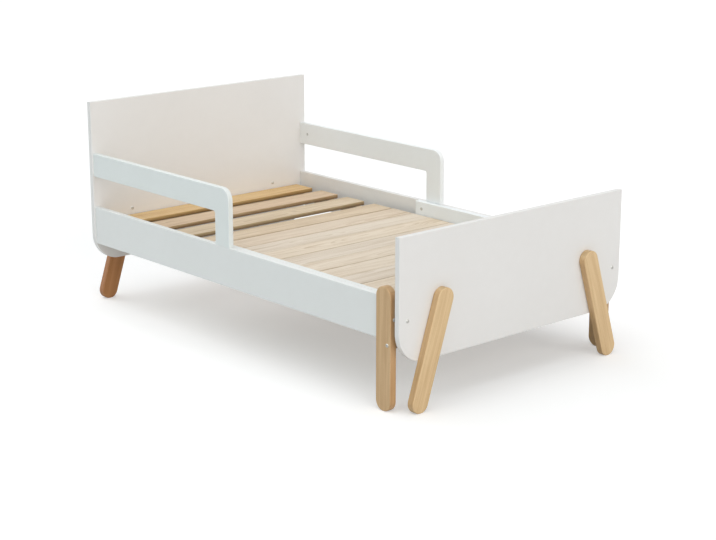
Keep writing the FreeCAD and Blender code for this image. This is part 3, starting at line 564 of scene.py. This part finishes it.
def tell_grain(piece, origin, turn, seed, tone_and_shade):
    """Writes the custom properties that the wood materials read."""
    for name, values in (("grain_origin", origin), ("grain_turn", turn), ("grain_tone_and_shade", tone_and_shade)):
        piece[name] = [float(value) for value in values]
    piece["grain_seed"] = float(seed)


def set_grain(piece, along, through, seeds, number, tone_and_shade):
    """Tells the wood how it was cut from the log: the grain's direction and the broad face's."""
    low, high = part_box(piece.name)
    along = Vector(along).normalized()
    through = Vector(through)
    through = (through - along * through.dot(along)).normalized()
    turn = Matrix((along, through.cross(along), through)).to_euler("XYZ")
    tell_grain(piece, (low + high) / 2, turn, seeds[0] + seeds[1] * number, tone_and_shade)


def slat_tone(number):
    """The tint of a slat, counted from 1 at the headboard: its own, or a slow drift from slat to slat."""
    drift = 0.02 * math.sin(2.4 * (number - 1))
    return SLAT_TONES.get(number, (1.12 + drift, 1.12 + 0.4 * drift, 1.15 - drift))


def solids_of(node):
    """The points of each separate solid of a CAD node, in order of the solids' places."""
    shape = bmesh.new()
    shape.from_mesh(frame["nodes"][node].data)
    bmesh.ops.remove_doubles(shape, verts=shape.verts, dist=SAME_POINT)
    waiting = set(shape.verts)
    solids = []
    while waiting:
        solid = []
        reached = [waiting.pop()]
        while reached:
            vertex = reached.pop()
            solid.append(vertex.co.copy())
            for edge in vertex.link_edges:
                other = edge.other_vert(vertex)
                if other in waiting:
                    waiting.remove(other)
                    reached.append(other)
        solids.append(solid)
    shape.free()
    solids.sort(key=lambda points: tuple(round(sum(point[axis] for point in points) / len(points), 4)
                                         for axis in range(3)))
    return solids


def corners(points):
    return [Vector([pick(point[axis] for point in points) for axis in range(3)]) for pick in (min, max)]


def between(low, high, share=0.5):
    return low + share * (high - low)


def lie_of(points):
    """Where a bolt or pin lies: its head's outer end, the way it points, its length and widest radius."""
    low, high = corners(points)
    size = high - low
    axis = max(range(3), key=lambda index: size[index])
    middle = (low + high) / 2
    others = [index for index in range(3) if index != axis]
    radius = max(size[index] for index in others) / 2
    wide = [point[axis] for point in points
            if math.hypot(*(point[index] - middle[index] for index in others)) > 0.9 * radius]
    head_low = sum(wide) / len(wide) < middle[axis]
    start = middle.copy()
    start[axis] = low[axis] if head_low else high[axis]
    way = Vector((0, 0, 0))
    way[axis] = 1 if head_low else -1
    return start, way, size[axis], radius


def aligned(start, way):
    """Places local +Z along way, from start."""
    return Matrix.Translation(start) @ way.to_track_quat("Z", "Y").to_matrix().to_4x4()


def add_rings(shape, rings, place):
    """Skins a row of rings of points, each as long as the next, and closes the ends."""
    rows = [[shape.verts.new(place @ Vector(point)) for point in ring] for ring in rings]
    count = len(rows[0])
    for lower, upper in zip(rows, rows[1:]):
        for index in range(count):
            following = (index + 1) % count
            shape.faces.new((lower[index], lower[following], upper[following], upper[index]))
    shape.faces.new(list(reversed(rows[0])))
    shape.faces.new(rows[-1])


def turn_at(index, count=ROUND):
    return 2 * math.pi * index / count


def uneven_ring(radii, height):
    """Points at even turns round the axis, each as far out as its own radius."""
    ring = []
    for index, radius in enumerate(radii):
        angle = turn_at(index, len(radii))
        ring.append((radius * math.cos(angle), radius * math.sin(angle), height))
    return ring


def round_ring(radius, height):
    return uneven_ring([radius] * ROUND, height)


def hexagon_ring(flat_radius, height):
    """A ring on a hexagon, with points on its corners because ROUND is a multiple of six."""
    side = math.pi / 3
    radii = [flat_radius / math.cos((turn_at(index) % side) - side / 2) for index in range(ROUND)]
    return uneven_ring(radii, height)


def new_object(name, shape):
    """Turns a bmesh into an object of the scene."""
    mesh = bpy.data.meshes.new(name)
    shape.to_mesh(mesh)
    shape.free()
    thing = bpy.data.objects.new(name, mesh)
    bpy.context.scene.collection.objects.link(thing)
    return thing


def new_piece(name, shape, material, body=None, smooth_angle=EDGE_ANGLE):
    """Shades a bmesh, makes it a piece of the bed and lets it ride on a body."""
    bmesh.ops.recalc_face_normals(shape, faces=shape.faces)
    for face in shape.faces:
        face.smooth = True
    for edge in shape.edges:
        edge.smooth = len(edge.link_faces) != 2 or edge.calc_face_angle(0) < smooth_angle
    piece = new_object(name, shape)
    piece.data.materials.append(material)
    if body:
        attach(piece, body)
    return piece


def add_bolt(shape, start, way, length, fittings, head_radius, shank_radius, head_height):
    """A low round head with a hex socket, a plain shank and a threaded end."""
    play = 0.0001
    run_out = 0.0004
    tip_chamfer = 0.0005
    drill_point = 0.0004
    socket_past_head = 0.0009
    socket_depth = head_height + socket_past_head
    flat_radius = fittings.socket_width / 2
    shank = shank_radius - play
    head = [
        hexagon_ring(flat_radius * 0.25, socket_depth + drill_point),
        hexagon_ring(flat_radius, socket_depth),
        hexagon_ring(flat_radius, HAIR),
        hexagon_ring(flat_radius + HAIR, 0.0),
    ]
    for width_share, height_share in ((0.66, 0.0), (0.84, 0.12), (0.96, 0.42), (1.0, 0.78), (1.0, 1.0)):
        head.append(round_ring(head_radius * width_share, head_height * height_share))
    pitch = fittings.thread_pitch
    thread_depth = 0.55 * pitch
    thread_start = length - min(fittings.thread_length, 0.6 * (length - head_height))
    plain = [round_ring(shank_radius + HAIR, head_height), round_ring(shank, head_height + HAIR + play),
             round_ring(shank, thread_start - run_out)]
    steps = 3
    thread = []
    for row in range(int((length - 2 * run_out - thread_start) / pitch * steps)):
        waves = [abs(2 * ((row / steps - index / ROUND) % 1.0) - 1) for index in range(ROUND)]
        radii = [shank - thread_depth * (1 - wave) for wave in waves]
        thread.append(uneven_ring(radii, thread_start + row * pitch / steps))
    core = shank - thread_depth
    tip = [round_ring(core, length - run_out), round_ring(core - tip_chamfer, length)]
    add_rings(shape, head + plain + thread + tip, aligned(start, way))


def add_screw(shape, start, way, head_radius):
    """A countersunk screw whose head lies almost flush: a rim, a cross recess and a pointed shank."""
    recess = []
    for index in range(ROUND):
        arm = abs(math.sin(2 * turn_at(index))) < 0.5
        recess.append(head_radius * (0.52 if arm else 0.18))
    rings = [
        uneven_ring([0.3 * reach for reach in recess], head_radius * 0.55),
        uneven_ring(recess, 0.0),
        round_ring(head_radius * 0.8, -0.0001),
        round_ring(head_radius, 0.0),
        round_ring(head_radius, 0.0003),
    ]
    for width_share, depth_share in ((0.45, 0.6), (0.42, 4.2), (0.05, 5.4)):
        rings.append(round_ring(head_radius * width_share, head_radius * depth_share))
    add_rings(shape, rings, aligned(start, way))


def add_strip(shape, middle, half, thick, points):
    """A flat tape that follows points in the YZ plane; its lower face passes through them."""
    rows = []
    for index, (y, z) in enumerate(points):
        before = points[max(index - 1, 0)]
        after = points[min(index + 1, len(points) - 1)]
        run = Vector((after[0] - before[0], after[1] - before[1])).normalized()
        normal = Vector((-run.y, run.x)) * (-1 if run.x < 0 else 1)
        rows.append([(middle + x, y + normal.x * up, z + normal.y * up)
                     for x, up in ((-half, 0), (half, 0), (half, thick), (-half, thick))])
    add_rings(shape, rows, Matrix())


# Operators: one for each piece or group of like pieces

class KIDSBED_OT_boards(bpy.types.Operator):
    """Lacquers the headboard and the footboard"""
    bl_idname = "kids_bed.boards"
    bl_label = "Boards"

    def execute(self, context):
        settings = context.scene.kids_bed.lacquer
        lacquer(BOARDS, settings, settings.edge_radius * BOARD_EDGE_SHARE)
        return {"FINISHED"}


class KIDSBED_OT_rails(bpy.types.Operator):
    """Lacquers the outer rails, the sliding inner rails and the guards"""
    bl_idname = "kids_bed.rails"
    bl_label = "Rails and guards"

    def execute(self, context):
        settings = context.scene.kids_bed.lacquer
        lacquer(RAILS, settings, settings.edge_radius)
        return {"FINISHED"}


class KIDSBED_OT_legs(bpy.types.Operator):
    """Gives the six legs their beech, with the grain along each leg"""
    bl_idname = "kids_bed.legs"
    bl_label = "Legs"

    def execute(self, context):
        wood = context.scene.kids_bed.wood
        material = beech_material("beech", wood.beech_light, wood.beech_dark)
        for number, name in enumerate(SPLAYED_LEGS + MID_LEGS):
            piece = dress(name, material)
            low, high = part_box(name)
            if name in MID_LEGS:
                along, through = (0, 0, 1), (1, 0, 0)
            else:
                run = (high.x - low.x - LEG_WIDTH) * (-1 if low.x > 0 else 1)
                along, through = (run, 0, high.z - low.z - LEG_WIDTH), (0, 1, 0)
            set_grain(piece, along, through, LEG_SEEDS, number, LEG_TONES_AND_SHADE[name.split("_")[0]])
            soften(piece, wood.leg_radius, segments=3)
        return {"FINISHED"}


class KIDSBED_OT_battens(bpy.types.Operator):
    """Gives the bearers, ledges, ledger and cross beam their rough pine"""
    bl_idname = "kids_bed.battens"
    bl_label = "Battens"

    def execute(self, context):
        wood = context.scene.kids_bed.wood
        material = pine_material("pine_batten", wood.pine_light, wood.pine_dark, wood)
        for number, name in enumerate(LONG_BATTENS + CROSS_BATTENS):
            piece = dress(name, material)
            along = (0, 1, 0) if name in LONG_BATTENS else (1, 0, 0)
            set_grain(piece, along, (0, 0, 1), BATTEN_SEEDS, number, BATTEN_TONE)
            # The battens' narrow faces get a little painted shade
            piece["edge_shade_amount"] = LIGHT_EDGE_SHADE
            soften(piece, wood.slat_radius)
        return {"FINISHED"}


class KIDSBED_OT_slats(bpy.types.Operator):
    """Gives the slats their pine, each from another board"""
    bl_idname = "kids_bed.slats"
    bl_label = "Slats"

    def execute(self, context):
        wood = context.scene.kids_bed.wood
        pine = pine_material("pine", wood.pine_light, wood.pine_dark, wood)
        golden = pine_material("pine_golden", wood.golden_light, wood.golden_dark, wood)
        for number, name in enumerate(SLATS):
            piece = dress(name, golden if number == 0 else pine)
            bark_side = (0, 0, 1 if number % 3 else -1)
            set_grain(piece, (1, 0, 0), bark_side, SLAT_SEEDS, number, slat_tone(number + 1))
            # The first slats get the full painted shade on their narrow faces, the others less
            piece["edge_shade_amount"] = FULL_EDGE_SHADE if number < FULL_SHADE_SLATS else LIGHT_EDGE_SHADE
            soften(piece, wood.slat_radius)
        return {"FINISHED"}


class KIDSBED_OT_bolts(bpy.types.Operator):
    """Makes the bolts with hex sockets and threads, in place of the plain ones"""
    bl_idname = "kids_bed.bolts"
    bl_label = "Bolts"

    def execute(self, context):
        fittings = context.scene.kids_bed.fittings
        for group in BOLT_GROUPS:
            shape = bmesh.new()
            for points in solids_of(group):
                start, way, length, radius = lie_of(points)
                add_bolt(shape, start, way, length, fittings, head_radius=radius, shank_radius=radius / 2,
                         head_height=radius / 3)
            steel = bolt_steel(fittings)
            piece = new_piece(f"{group}.socket_head", shape, steel, BODY_OF[group])
            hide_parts(group)
        return {"FINISHED"}


class KIDSBED_OT_barrel_nuts(bpy.types.Operator):
    """Cuts a screwdriver slot into the end of each barrel nut"""
    bl_idname = "kids_bed.barrel_nuts"
    bl_label = "Barrel nuts"

    def execute(self, context):
        material = steel_material("nut_steel", context.scene.kids_bed.fittings.steel, NUT_ROUGHNESS)
        for group in NUT_GROUPS:
            cutter = self.slot_cutter(group)
            nuts = frame["nodes"][group].copy()
            nuts.data = frame["nodes"][group].data.copy()
            context.scene.collection.objects.link(nuts)
            nuts.modifiers.new("weld", "WELD").merge_threshold = WELD_REACH
            cut = nuts.modifiers.new("slot", "BOOLEAN")
            cut.operation = "DIFFERENCE"
            cut.object = cutter
            cut.solver = "EXACT"
            context.view_layer.update()
            shape = bmesh.new()
            shape.from_mesh(nuts.evaluated_get(context.evaluated_depsgraph_get()).to_mesh())
            bpy.data.objects.remove(nuts)
            bpy.data.objects.remove(cutter)
            piece = new_piece(f"{group}.slotted", shape, material, BODY_OF[group])
            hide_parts(group)
        return {"FINISHED"}

    def slot_cutter(self, group):
        """A blade across the inner end of each nut, turned another way in each."""
        blades = bmesh.new()
        for points in solids_of(group):
            low, high = corners(points)
            middle = (low + high) / 2
            inner = low.x if low.x > 0 else high.x
            turn = Euler((0.5 + 7 * middle.y, 0, 0)).to_matrix().to_4x4()
            place = Matrix.Translation((inner, middle.y, middle.z)) @ turn
            bmesh.ops.create_cube(blades, size=1, matrix=place @ Matrix.Diagonal((*NUT_BLADE, 1)))
        return new_object("slot_cutter", blades)


class KIDSBED_OT_dowels(bpy.types.Operator):
    """Makes the dowels fluted, with chamfered ends"""
    bl_idname = "kids_bed.dowels"
    bl_label = "Dowels"

    def execute(self, context):
        wood = context.scene.kids_bed.wood
        material = beech_material("beech_dowel", wood.pine_light, wood.beech_light)
        flutes = 24
        flute_depth = 0.07
        chamfer = 0.0015
        narrow = 0.75
        for group in DOWEL_GROUPS:
            shape = bmesh.new()
            for points in solids_of(group):
                start, way, length, radius = lie_of(points)
                outline = [radius * (1 - flute_depth * (index % 2)) for index in range(2 * flutes)]
                rings = []
                for height, share in ((0, narrow), (chamfer, 1), (length - chamfer, 1), (length, narrow)):
                    rings.append(uneven_ring([share * reach for reach in outline], height))
                add_rings(shape, rings, aligned(start, way))
            piece = new_piece(f"{group}.fluted", shape, material, BODY_OF[group], DOWEL_EDGE)
            tell_grain(piece, (0, 0, 0), (0, 0, -math.pi / 2), DOWEL_SEED, PLAIN)
            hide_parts(group)
        return {"FINISHED"}


class KIDSBED_OT_bushes(bpy.types.Operator):
    """Gives the guide bushes their nylon"""
    bl_idname = "kids_bed.bushes"
    bl_label = "Guide bushes"

    def execute(self, context):
        material = nylon_material("nylon", context.scene.kids_bed.fittings.nylon)
        soften(dress("guide_bushes", material), BUSH_EDGE)
        return {"FINISHED"}


class KIDSBED_OT_screws(bpy.types.Operator):
    """Adds the countersunk wood screws of the battens and slats"""
    bl_idname = "kids_bed.screws"
    bl_label = "Wood screws"

    def execute(self, context):
        fittings = context.scene.kids_bed.fittings
        head_side, foot_side = [], []
        for side, sign in zip(SIDES, (-1, 1)):
            low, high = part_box(f"slat_ledge_{side}")
            inner = low.x if sign > 0 else high.x
            for share in LEDGE_SCREWS:
                place = (inner, between(low.y, high.y, share), between(low.z, high.z))
                foot_side.append((place, (sign, 0, 0)))
            last_low, last_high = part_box(SLATS[-1])
            for share in LAST_SLAT_SCREWS:
                place = (between(low.x, high.x), between(last_low.y, last_high.y, share), last_high.z)
                foot_side.append((place, (0, 0, -1)))
            low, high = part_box(f"bearer_{side}")
            for slat in SLATS[:FIXED_SLATS]:
                slat_low, slat_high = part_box(slat)
                place = (between(low.x, high.x), between(slat_low.y, slat_high.y), low.z)
                head_side.append((place, (0, 0, 1)))
        low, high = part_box("head_ledger")
        for share in LEDGER_SCREWS:
            place = (between(low.x, high.x, share), low.y, between(low.z, high.z))
            head_side.append((place, (0, 1, 0)))
        for end, screws in (("head", head_side), ("foot", foot_side)):
            shape = bmesh.new()
            for place, way in screws:
                start = Vector(place) - HAIR * Vector(way)
                add_screw(shape, start, Vector(way), fittings.screw_diameter / 2)
            new_piece(f"{end}_screws", shape, bolt_steel(fittings), f"{end}_section")
        return {"FINISHED"}


class KIDSBED_OT_tapes(bpy.types.Operator):
    """Hangs the webbing tapes that space the slats, with a loop of slack in each gap"""
    bl_idname = "kids_bed.tapes"
    bl_label = "Webbing tapes"

    def execute(self, context):
        fittings = context.scene.kids_bed.fittings
        material = webbing_material(fittings.nylon)
        thick = fittings.tape_thickness
        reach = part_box(SLATS[0])[1].x * TAPE_PLACE
        steps = 16
        for head_slat, foot_slat in zip(SLATS[FIXED_SLATS - 1:-2], SLATS[FIXED_SLATS:-1]):
            head_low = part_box(head_slat)[0]
            foot_low, foot_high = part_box(foot_slat)
            level = min(head_low.z, foot_low.z) - thick - HAIR
            start = Vector((0, head_low.y + TAPE_REACH, level))
            end = Vector((0, foot_high.y - TAPE_REACH, level))
            points = [(head_low.y + TAPE_LAP, level)]
            for share in [step / steps for step in range(steps + 1)]:
                sag = TAPE_SLACK * math.sin(math.pi * share) ** 1.5
                points.append((between(start.y, end.y, share), level - sag))
            points.append((foot_high.y - TAPE_LAP, level))
            shape = bmesh.new()
            for sign in (-1, 1):
                add_strip(shape, sign * reach, fittings.tape_width / 2, thick, points)
            piece = new_piece(f"tape_{head_slat[5:]}_{foot_slat[5:]}", shape, material)
            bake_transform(piece)
        return {"FINISHED"}


class KIDSBED_OT_stage(bpy.types.Operator):
    """Sets up the floor, the lamps, the surround and the camera"""
    bl_idname = "kids_bed.stage"
    bl_label = "Stage"

    def execute(self, context):
        stage = context.scene.kids_bed.stage
        self.add_floor(stage)
        self.add_surround(context, stage)
        self.add_lights(context, stage)
        camera = bpy.data.objects.new("camera", bpy.data.cameras.new("camera"))
        camera.data.lens = stage.focal_pixels * camera.data.sensor_width / PICTURE_WIDTH
        camera.data.clip_end = CAMERA_REACH
        camera.location = stage.camera_place
        camera.rotation_euler = (math.pi / 2 - stage.camera_dip, 0, -stage.camera_turn)
        context.scene.collection.objects.link(camera)
        context.scene.camera = camera
        context.scene.view_settings.view_transform = "Standard"
        return {"FINISHED"}

    def add_floor(self, stage):
        """A wide pale floor that stays white where no shadow falls and is clear from below."""
        shape = bmesh.new()
        bmesh.ops.create_grid(shape, x_segments=1, y_segments=1, size=FLOOR_REACH)
        floor = new_object("floor", shape)
        material = bpy.data.materials.new("studio_floor")
        material.use_nodes = True
        material.node_tree.nodes.clear()
        network = Network(material.node_tree)
        diffuse = network.add("BsdfDiffuse", {"Color": (*stage.floor, 1)}).outputs[0]
        seen = network.add("LightPath").outputs["Is Camera Ray"]
        lift = network.math("MULTIPLY", seen, stage.floor_lift)
        glow = network.add("Emission", {"Strength": lift}).outputs[0]
        above = network.add("AddShader", {0: diffuse, 1: glow}).outputs[0]
        below = network.add("BsdfTransparent").outputs[0]
        behind = network.add("NewGeometry").outputs["Backfacing"]
        sides = network.add("MixShader", {0: behind, 1: above, 2: below}).outputs[0]
        network.add("OutputMaterial", {"Surface": sides})
        floor.data.materials.append(material)

    def add_surround(self, context, stage):
        """Even light from all round, seen as plain white by the camera and in the metal."""
        world = bpy.data.worlds.new("surround")
        context.scene.world = world
        world.use_nodes = True
        network = Network(world.node_tree)
        rays = network.add("LightPath").outputs
        seen = network.math("MAXIMUM", rays["Is Camera Ray"], rays["Is Glossy Ray"])
        seen = network.math("MAXIMUM", seen, rays["Is Transmission Ray"])
        background = world.node_tree.nodes["Background"]
        background.inputs["Color"].default_value = (1, 1, 1, 1)
        network.put(background.inputs["Strength"], network.spread(seen, 0.0, 1.0, stage.daylight, 1.0))

    def add_lights(self, context, stage):
        """Wide soft lights, as from softboxes some way off."""
        for name, source, spread, colour in LAMPS:
            lamp = bpy.data.lights.new(f"{name}_light", "SUN")
            lamp.energy = getattr(stage, name)
            lamp.angle = math.radians(spread)
            lamp.color = colour
            holder = bpy.data.objects.new(f"{name}_light", lamp)
            holder.location = Vector(source) * LAMP_DISTANCE
            holder.rotation_euler = Vector(source).to_track_quat("Z", "Y").to_euler()
            context.scene.collection.objects.link(holder)


class KIDSBED_PT_panel(bpy.types.Panel):
    """Lists the bed's pieces and their settings"""
    bl_idname = "KIDSBED_PT_panel"
    bl_label = "Kids Bed"
    bl_space_type = "VIEW_3D"
    bl_region_type = "UI"
    bl_category = "Kids Bed"

    def draw(self, context):
        settings = context.scene.kids_bed
        for title, group in (("Lacquer", settings.lacquer), ("Wood", settings.wood),
                             ("Fittings", settings.fittings), ("Stage", settings.stage)):
            box = self.layout.box()
            box.label(text=title)
            for name in group.__annotations__:
                box.prop(group, name)
        for operator in OPERATORS:
            self.layout.operator(operator.bl_idname)


OPERATORS = (KIDSBED_OT_boards, KIDSBED_OT_rails, KIDSBED_OT_legs, KIDSBED_OT_battens, KIDSBED_OT_slats,
             KIDSBED_OT_bolts, KIDSBED_OT_barrel_nuts, KIDSBED_OT_dowels, KIDSBED_OT_bushes,
             KIDSBED_OT_screws, KIDSBED_OT_tapes, KIDSBED_OT_stage)
CLASSES = (LacquerSettings, WoodSettings, FittingSettings, StageSettings, KidsBedSettings,
           *OPERATORS, KIDSBED_PT_panel)


def register():
    for item in CLASSES:
        bpy.utils.register_class(item)
    bpy.types.Scene.kids_bed = bpy.props.PointerProperty(
        type=KidsBedSettings, name="Kids bed", description="Finishes, fittings and studio of the bed")


def unregister():
    del bpy.types.Scene.kids_bed
    for item in reversed(CLASSES):
        bpy.utils.unregister_class(item)


def main():
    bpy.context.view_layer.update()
    register()
    bpy.ops.kids_bed.boards()
    bpy.ops.kids_bed.rails()
    bpy.ops.kids_bed.legs()
    bpy.ops.kids_bed.battens()
    bpy.ops.kids_bed.slats()
    bpy.ops.kids_bed.bolts()
    bpy.ops.kids_bed.barrel_nuts()
    bpy.ops.kids_bed.dowels()
    bpy.ops.kids_bed.bushes()
    bpy.ops.kids_bed.screws()
    bpy.ops.kids_bed.tapes()
    bpy.ops.kids_bed.stage()


if __name__ == "__main__":
    main()
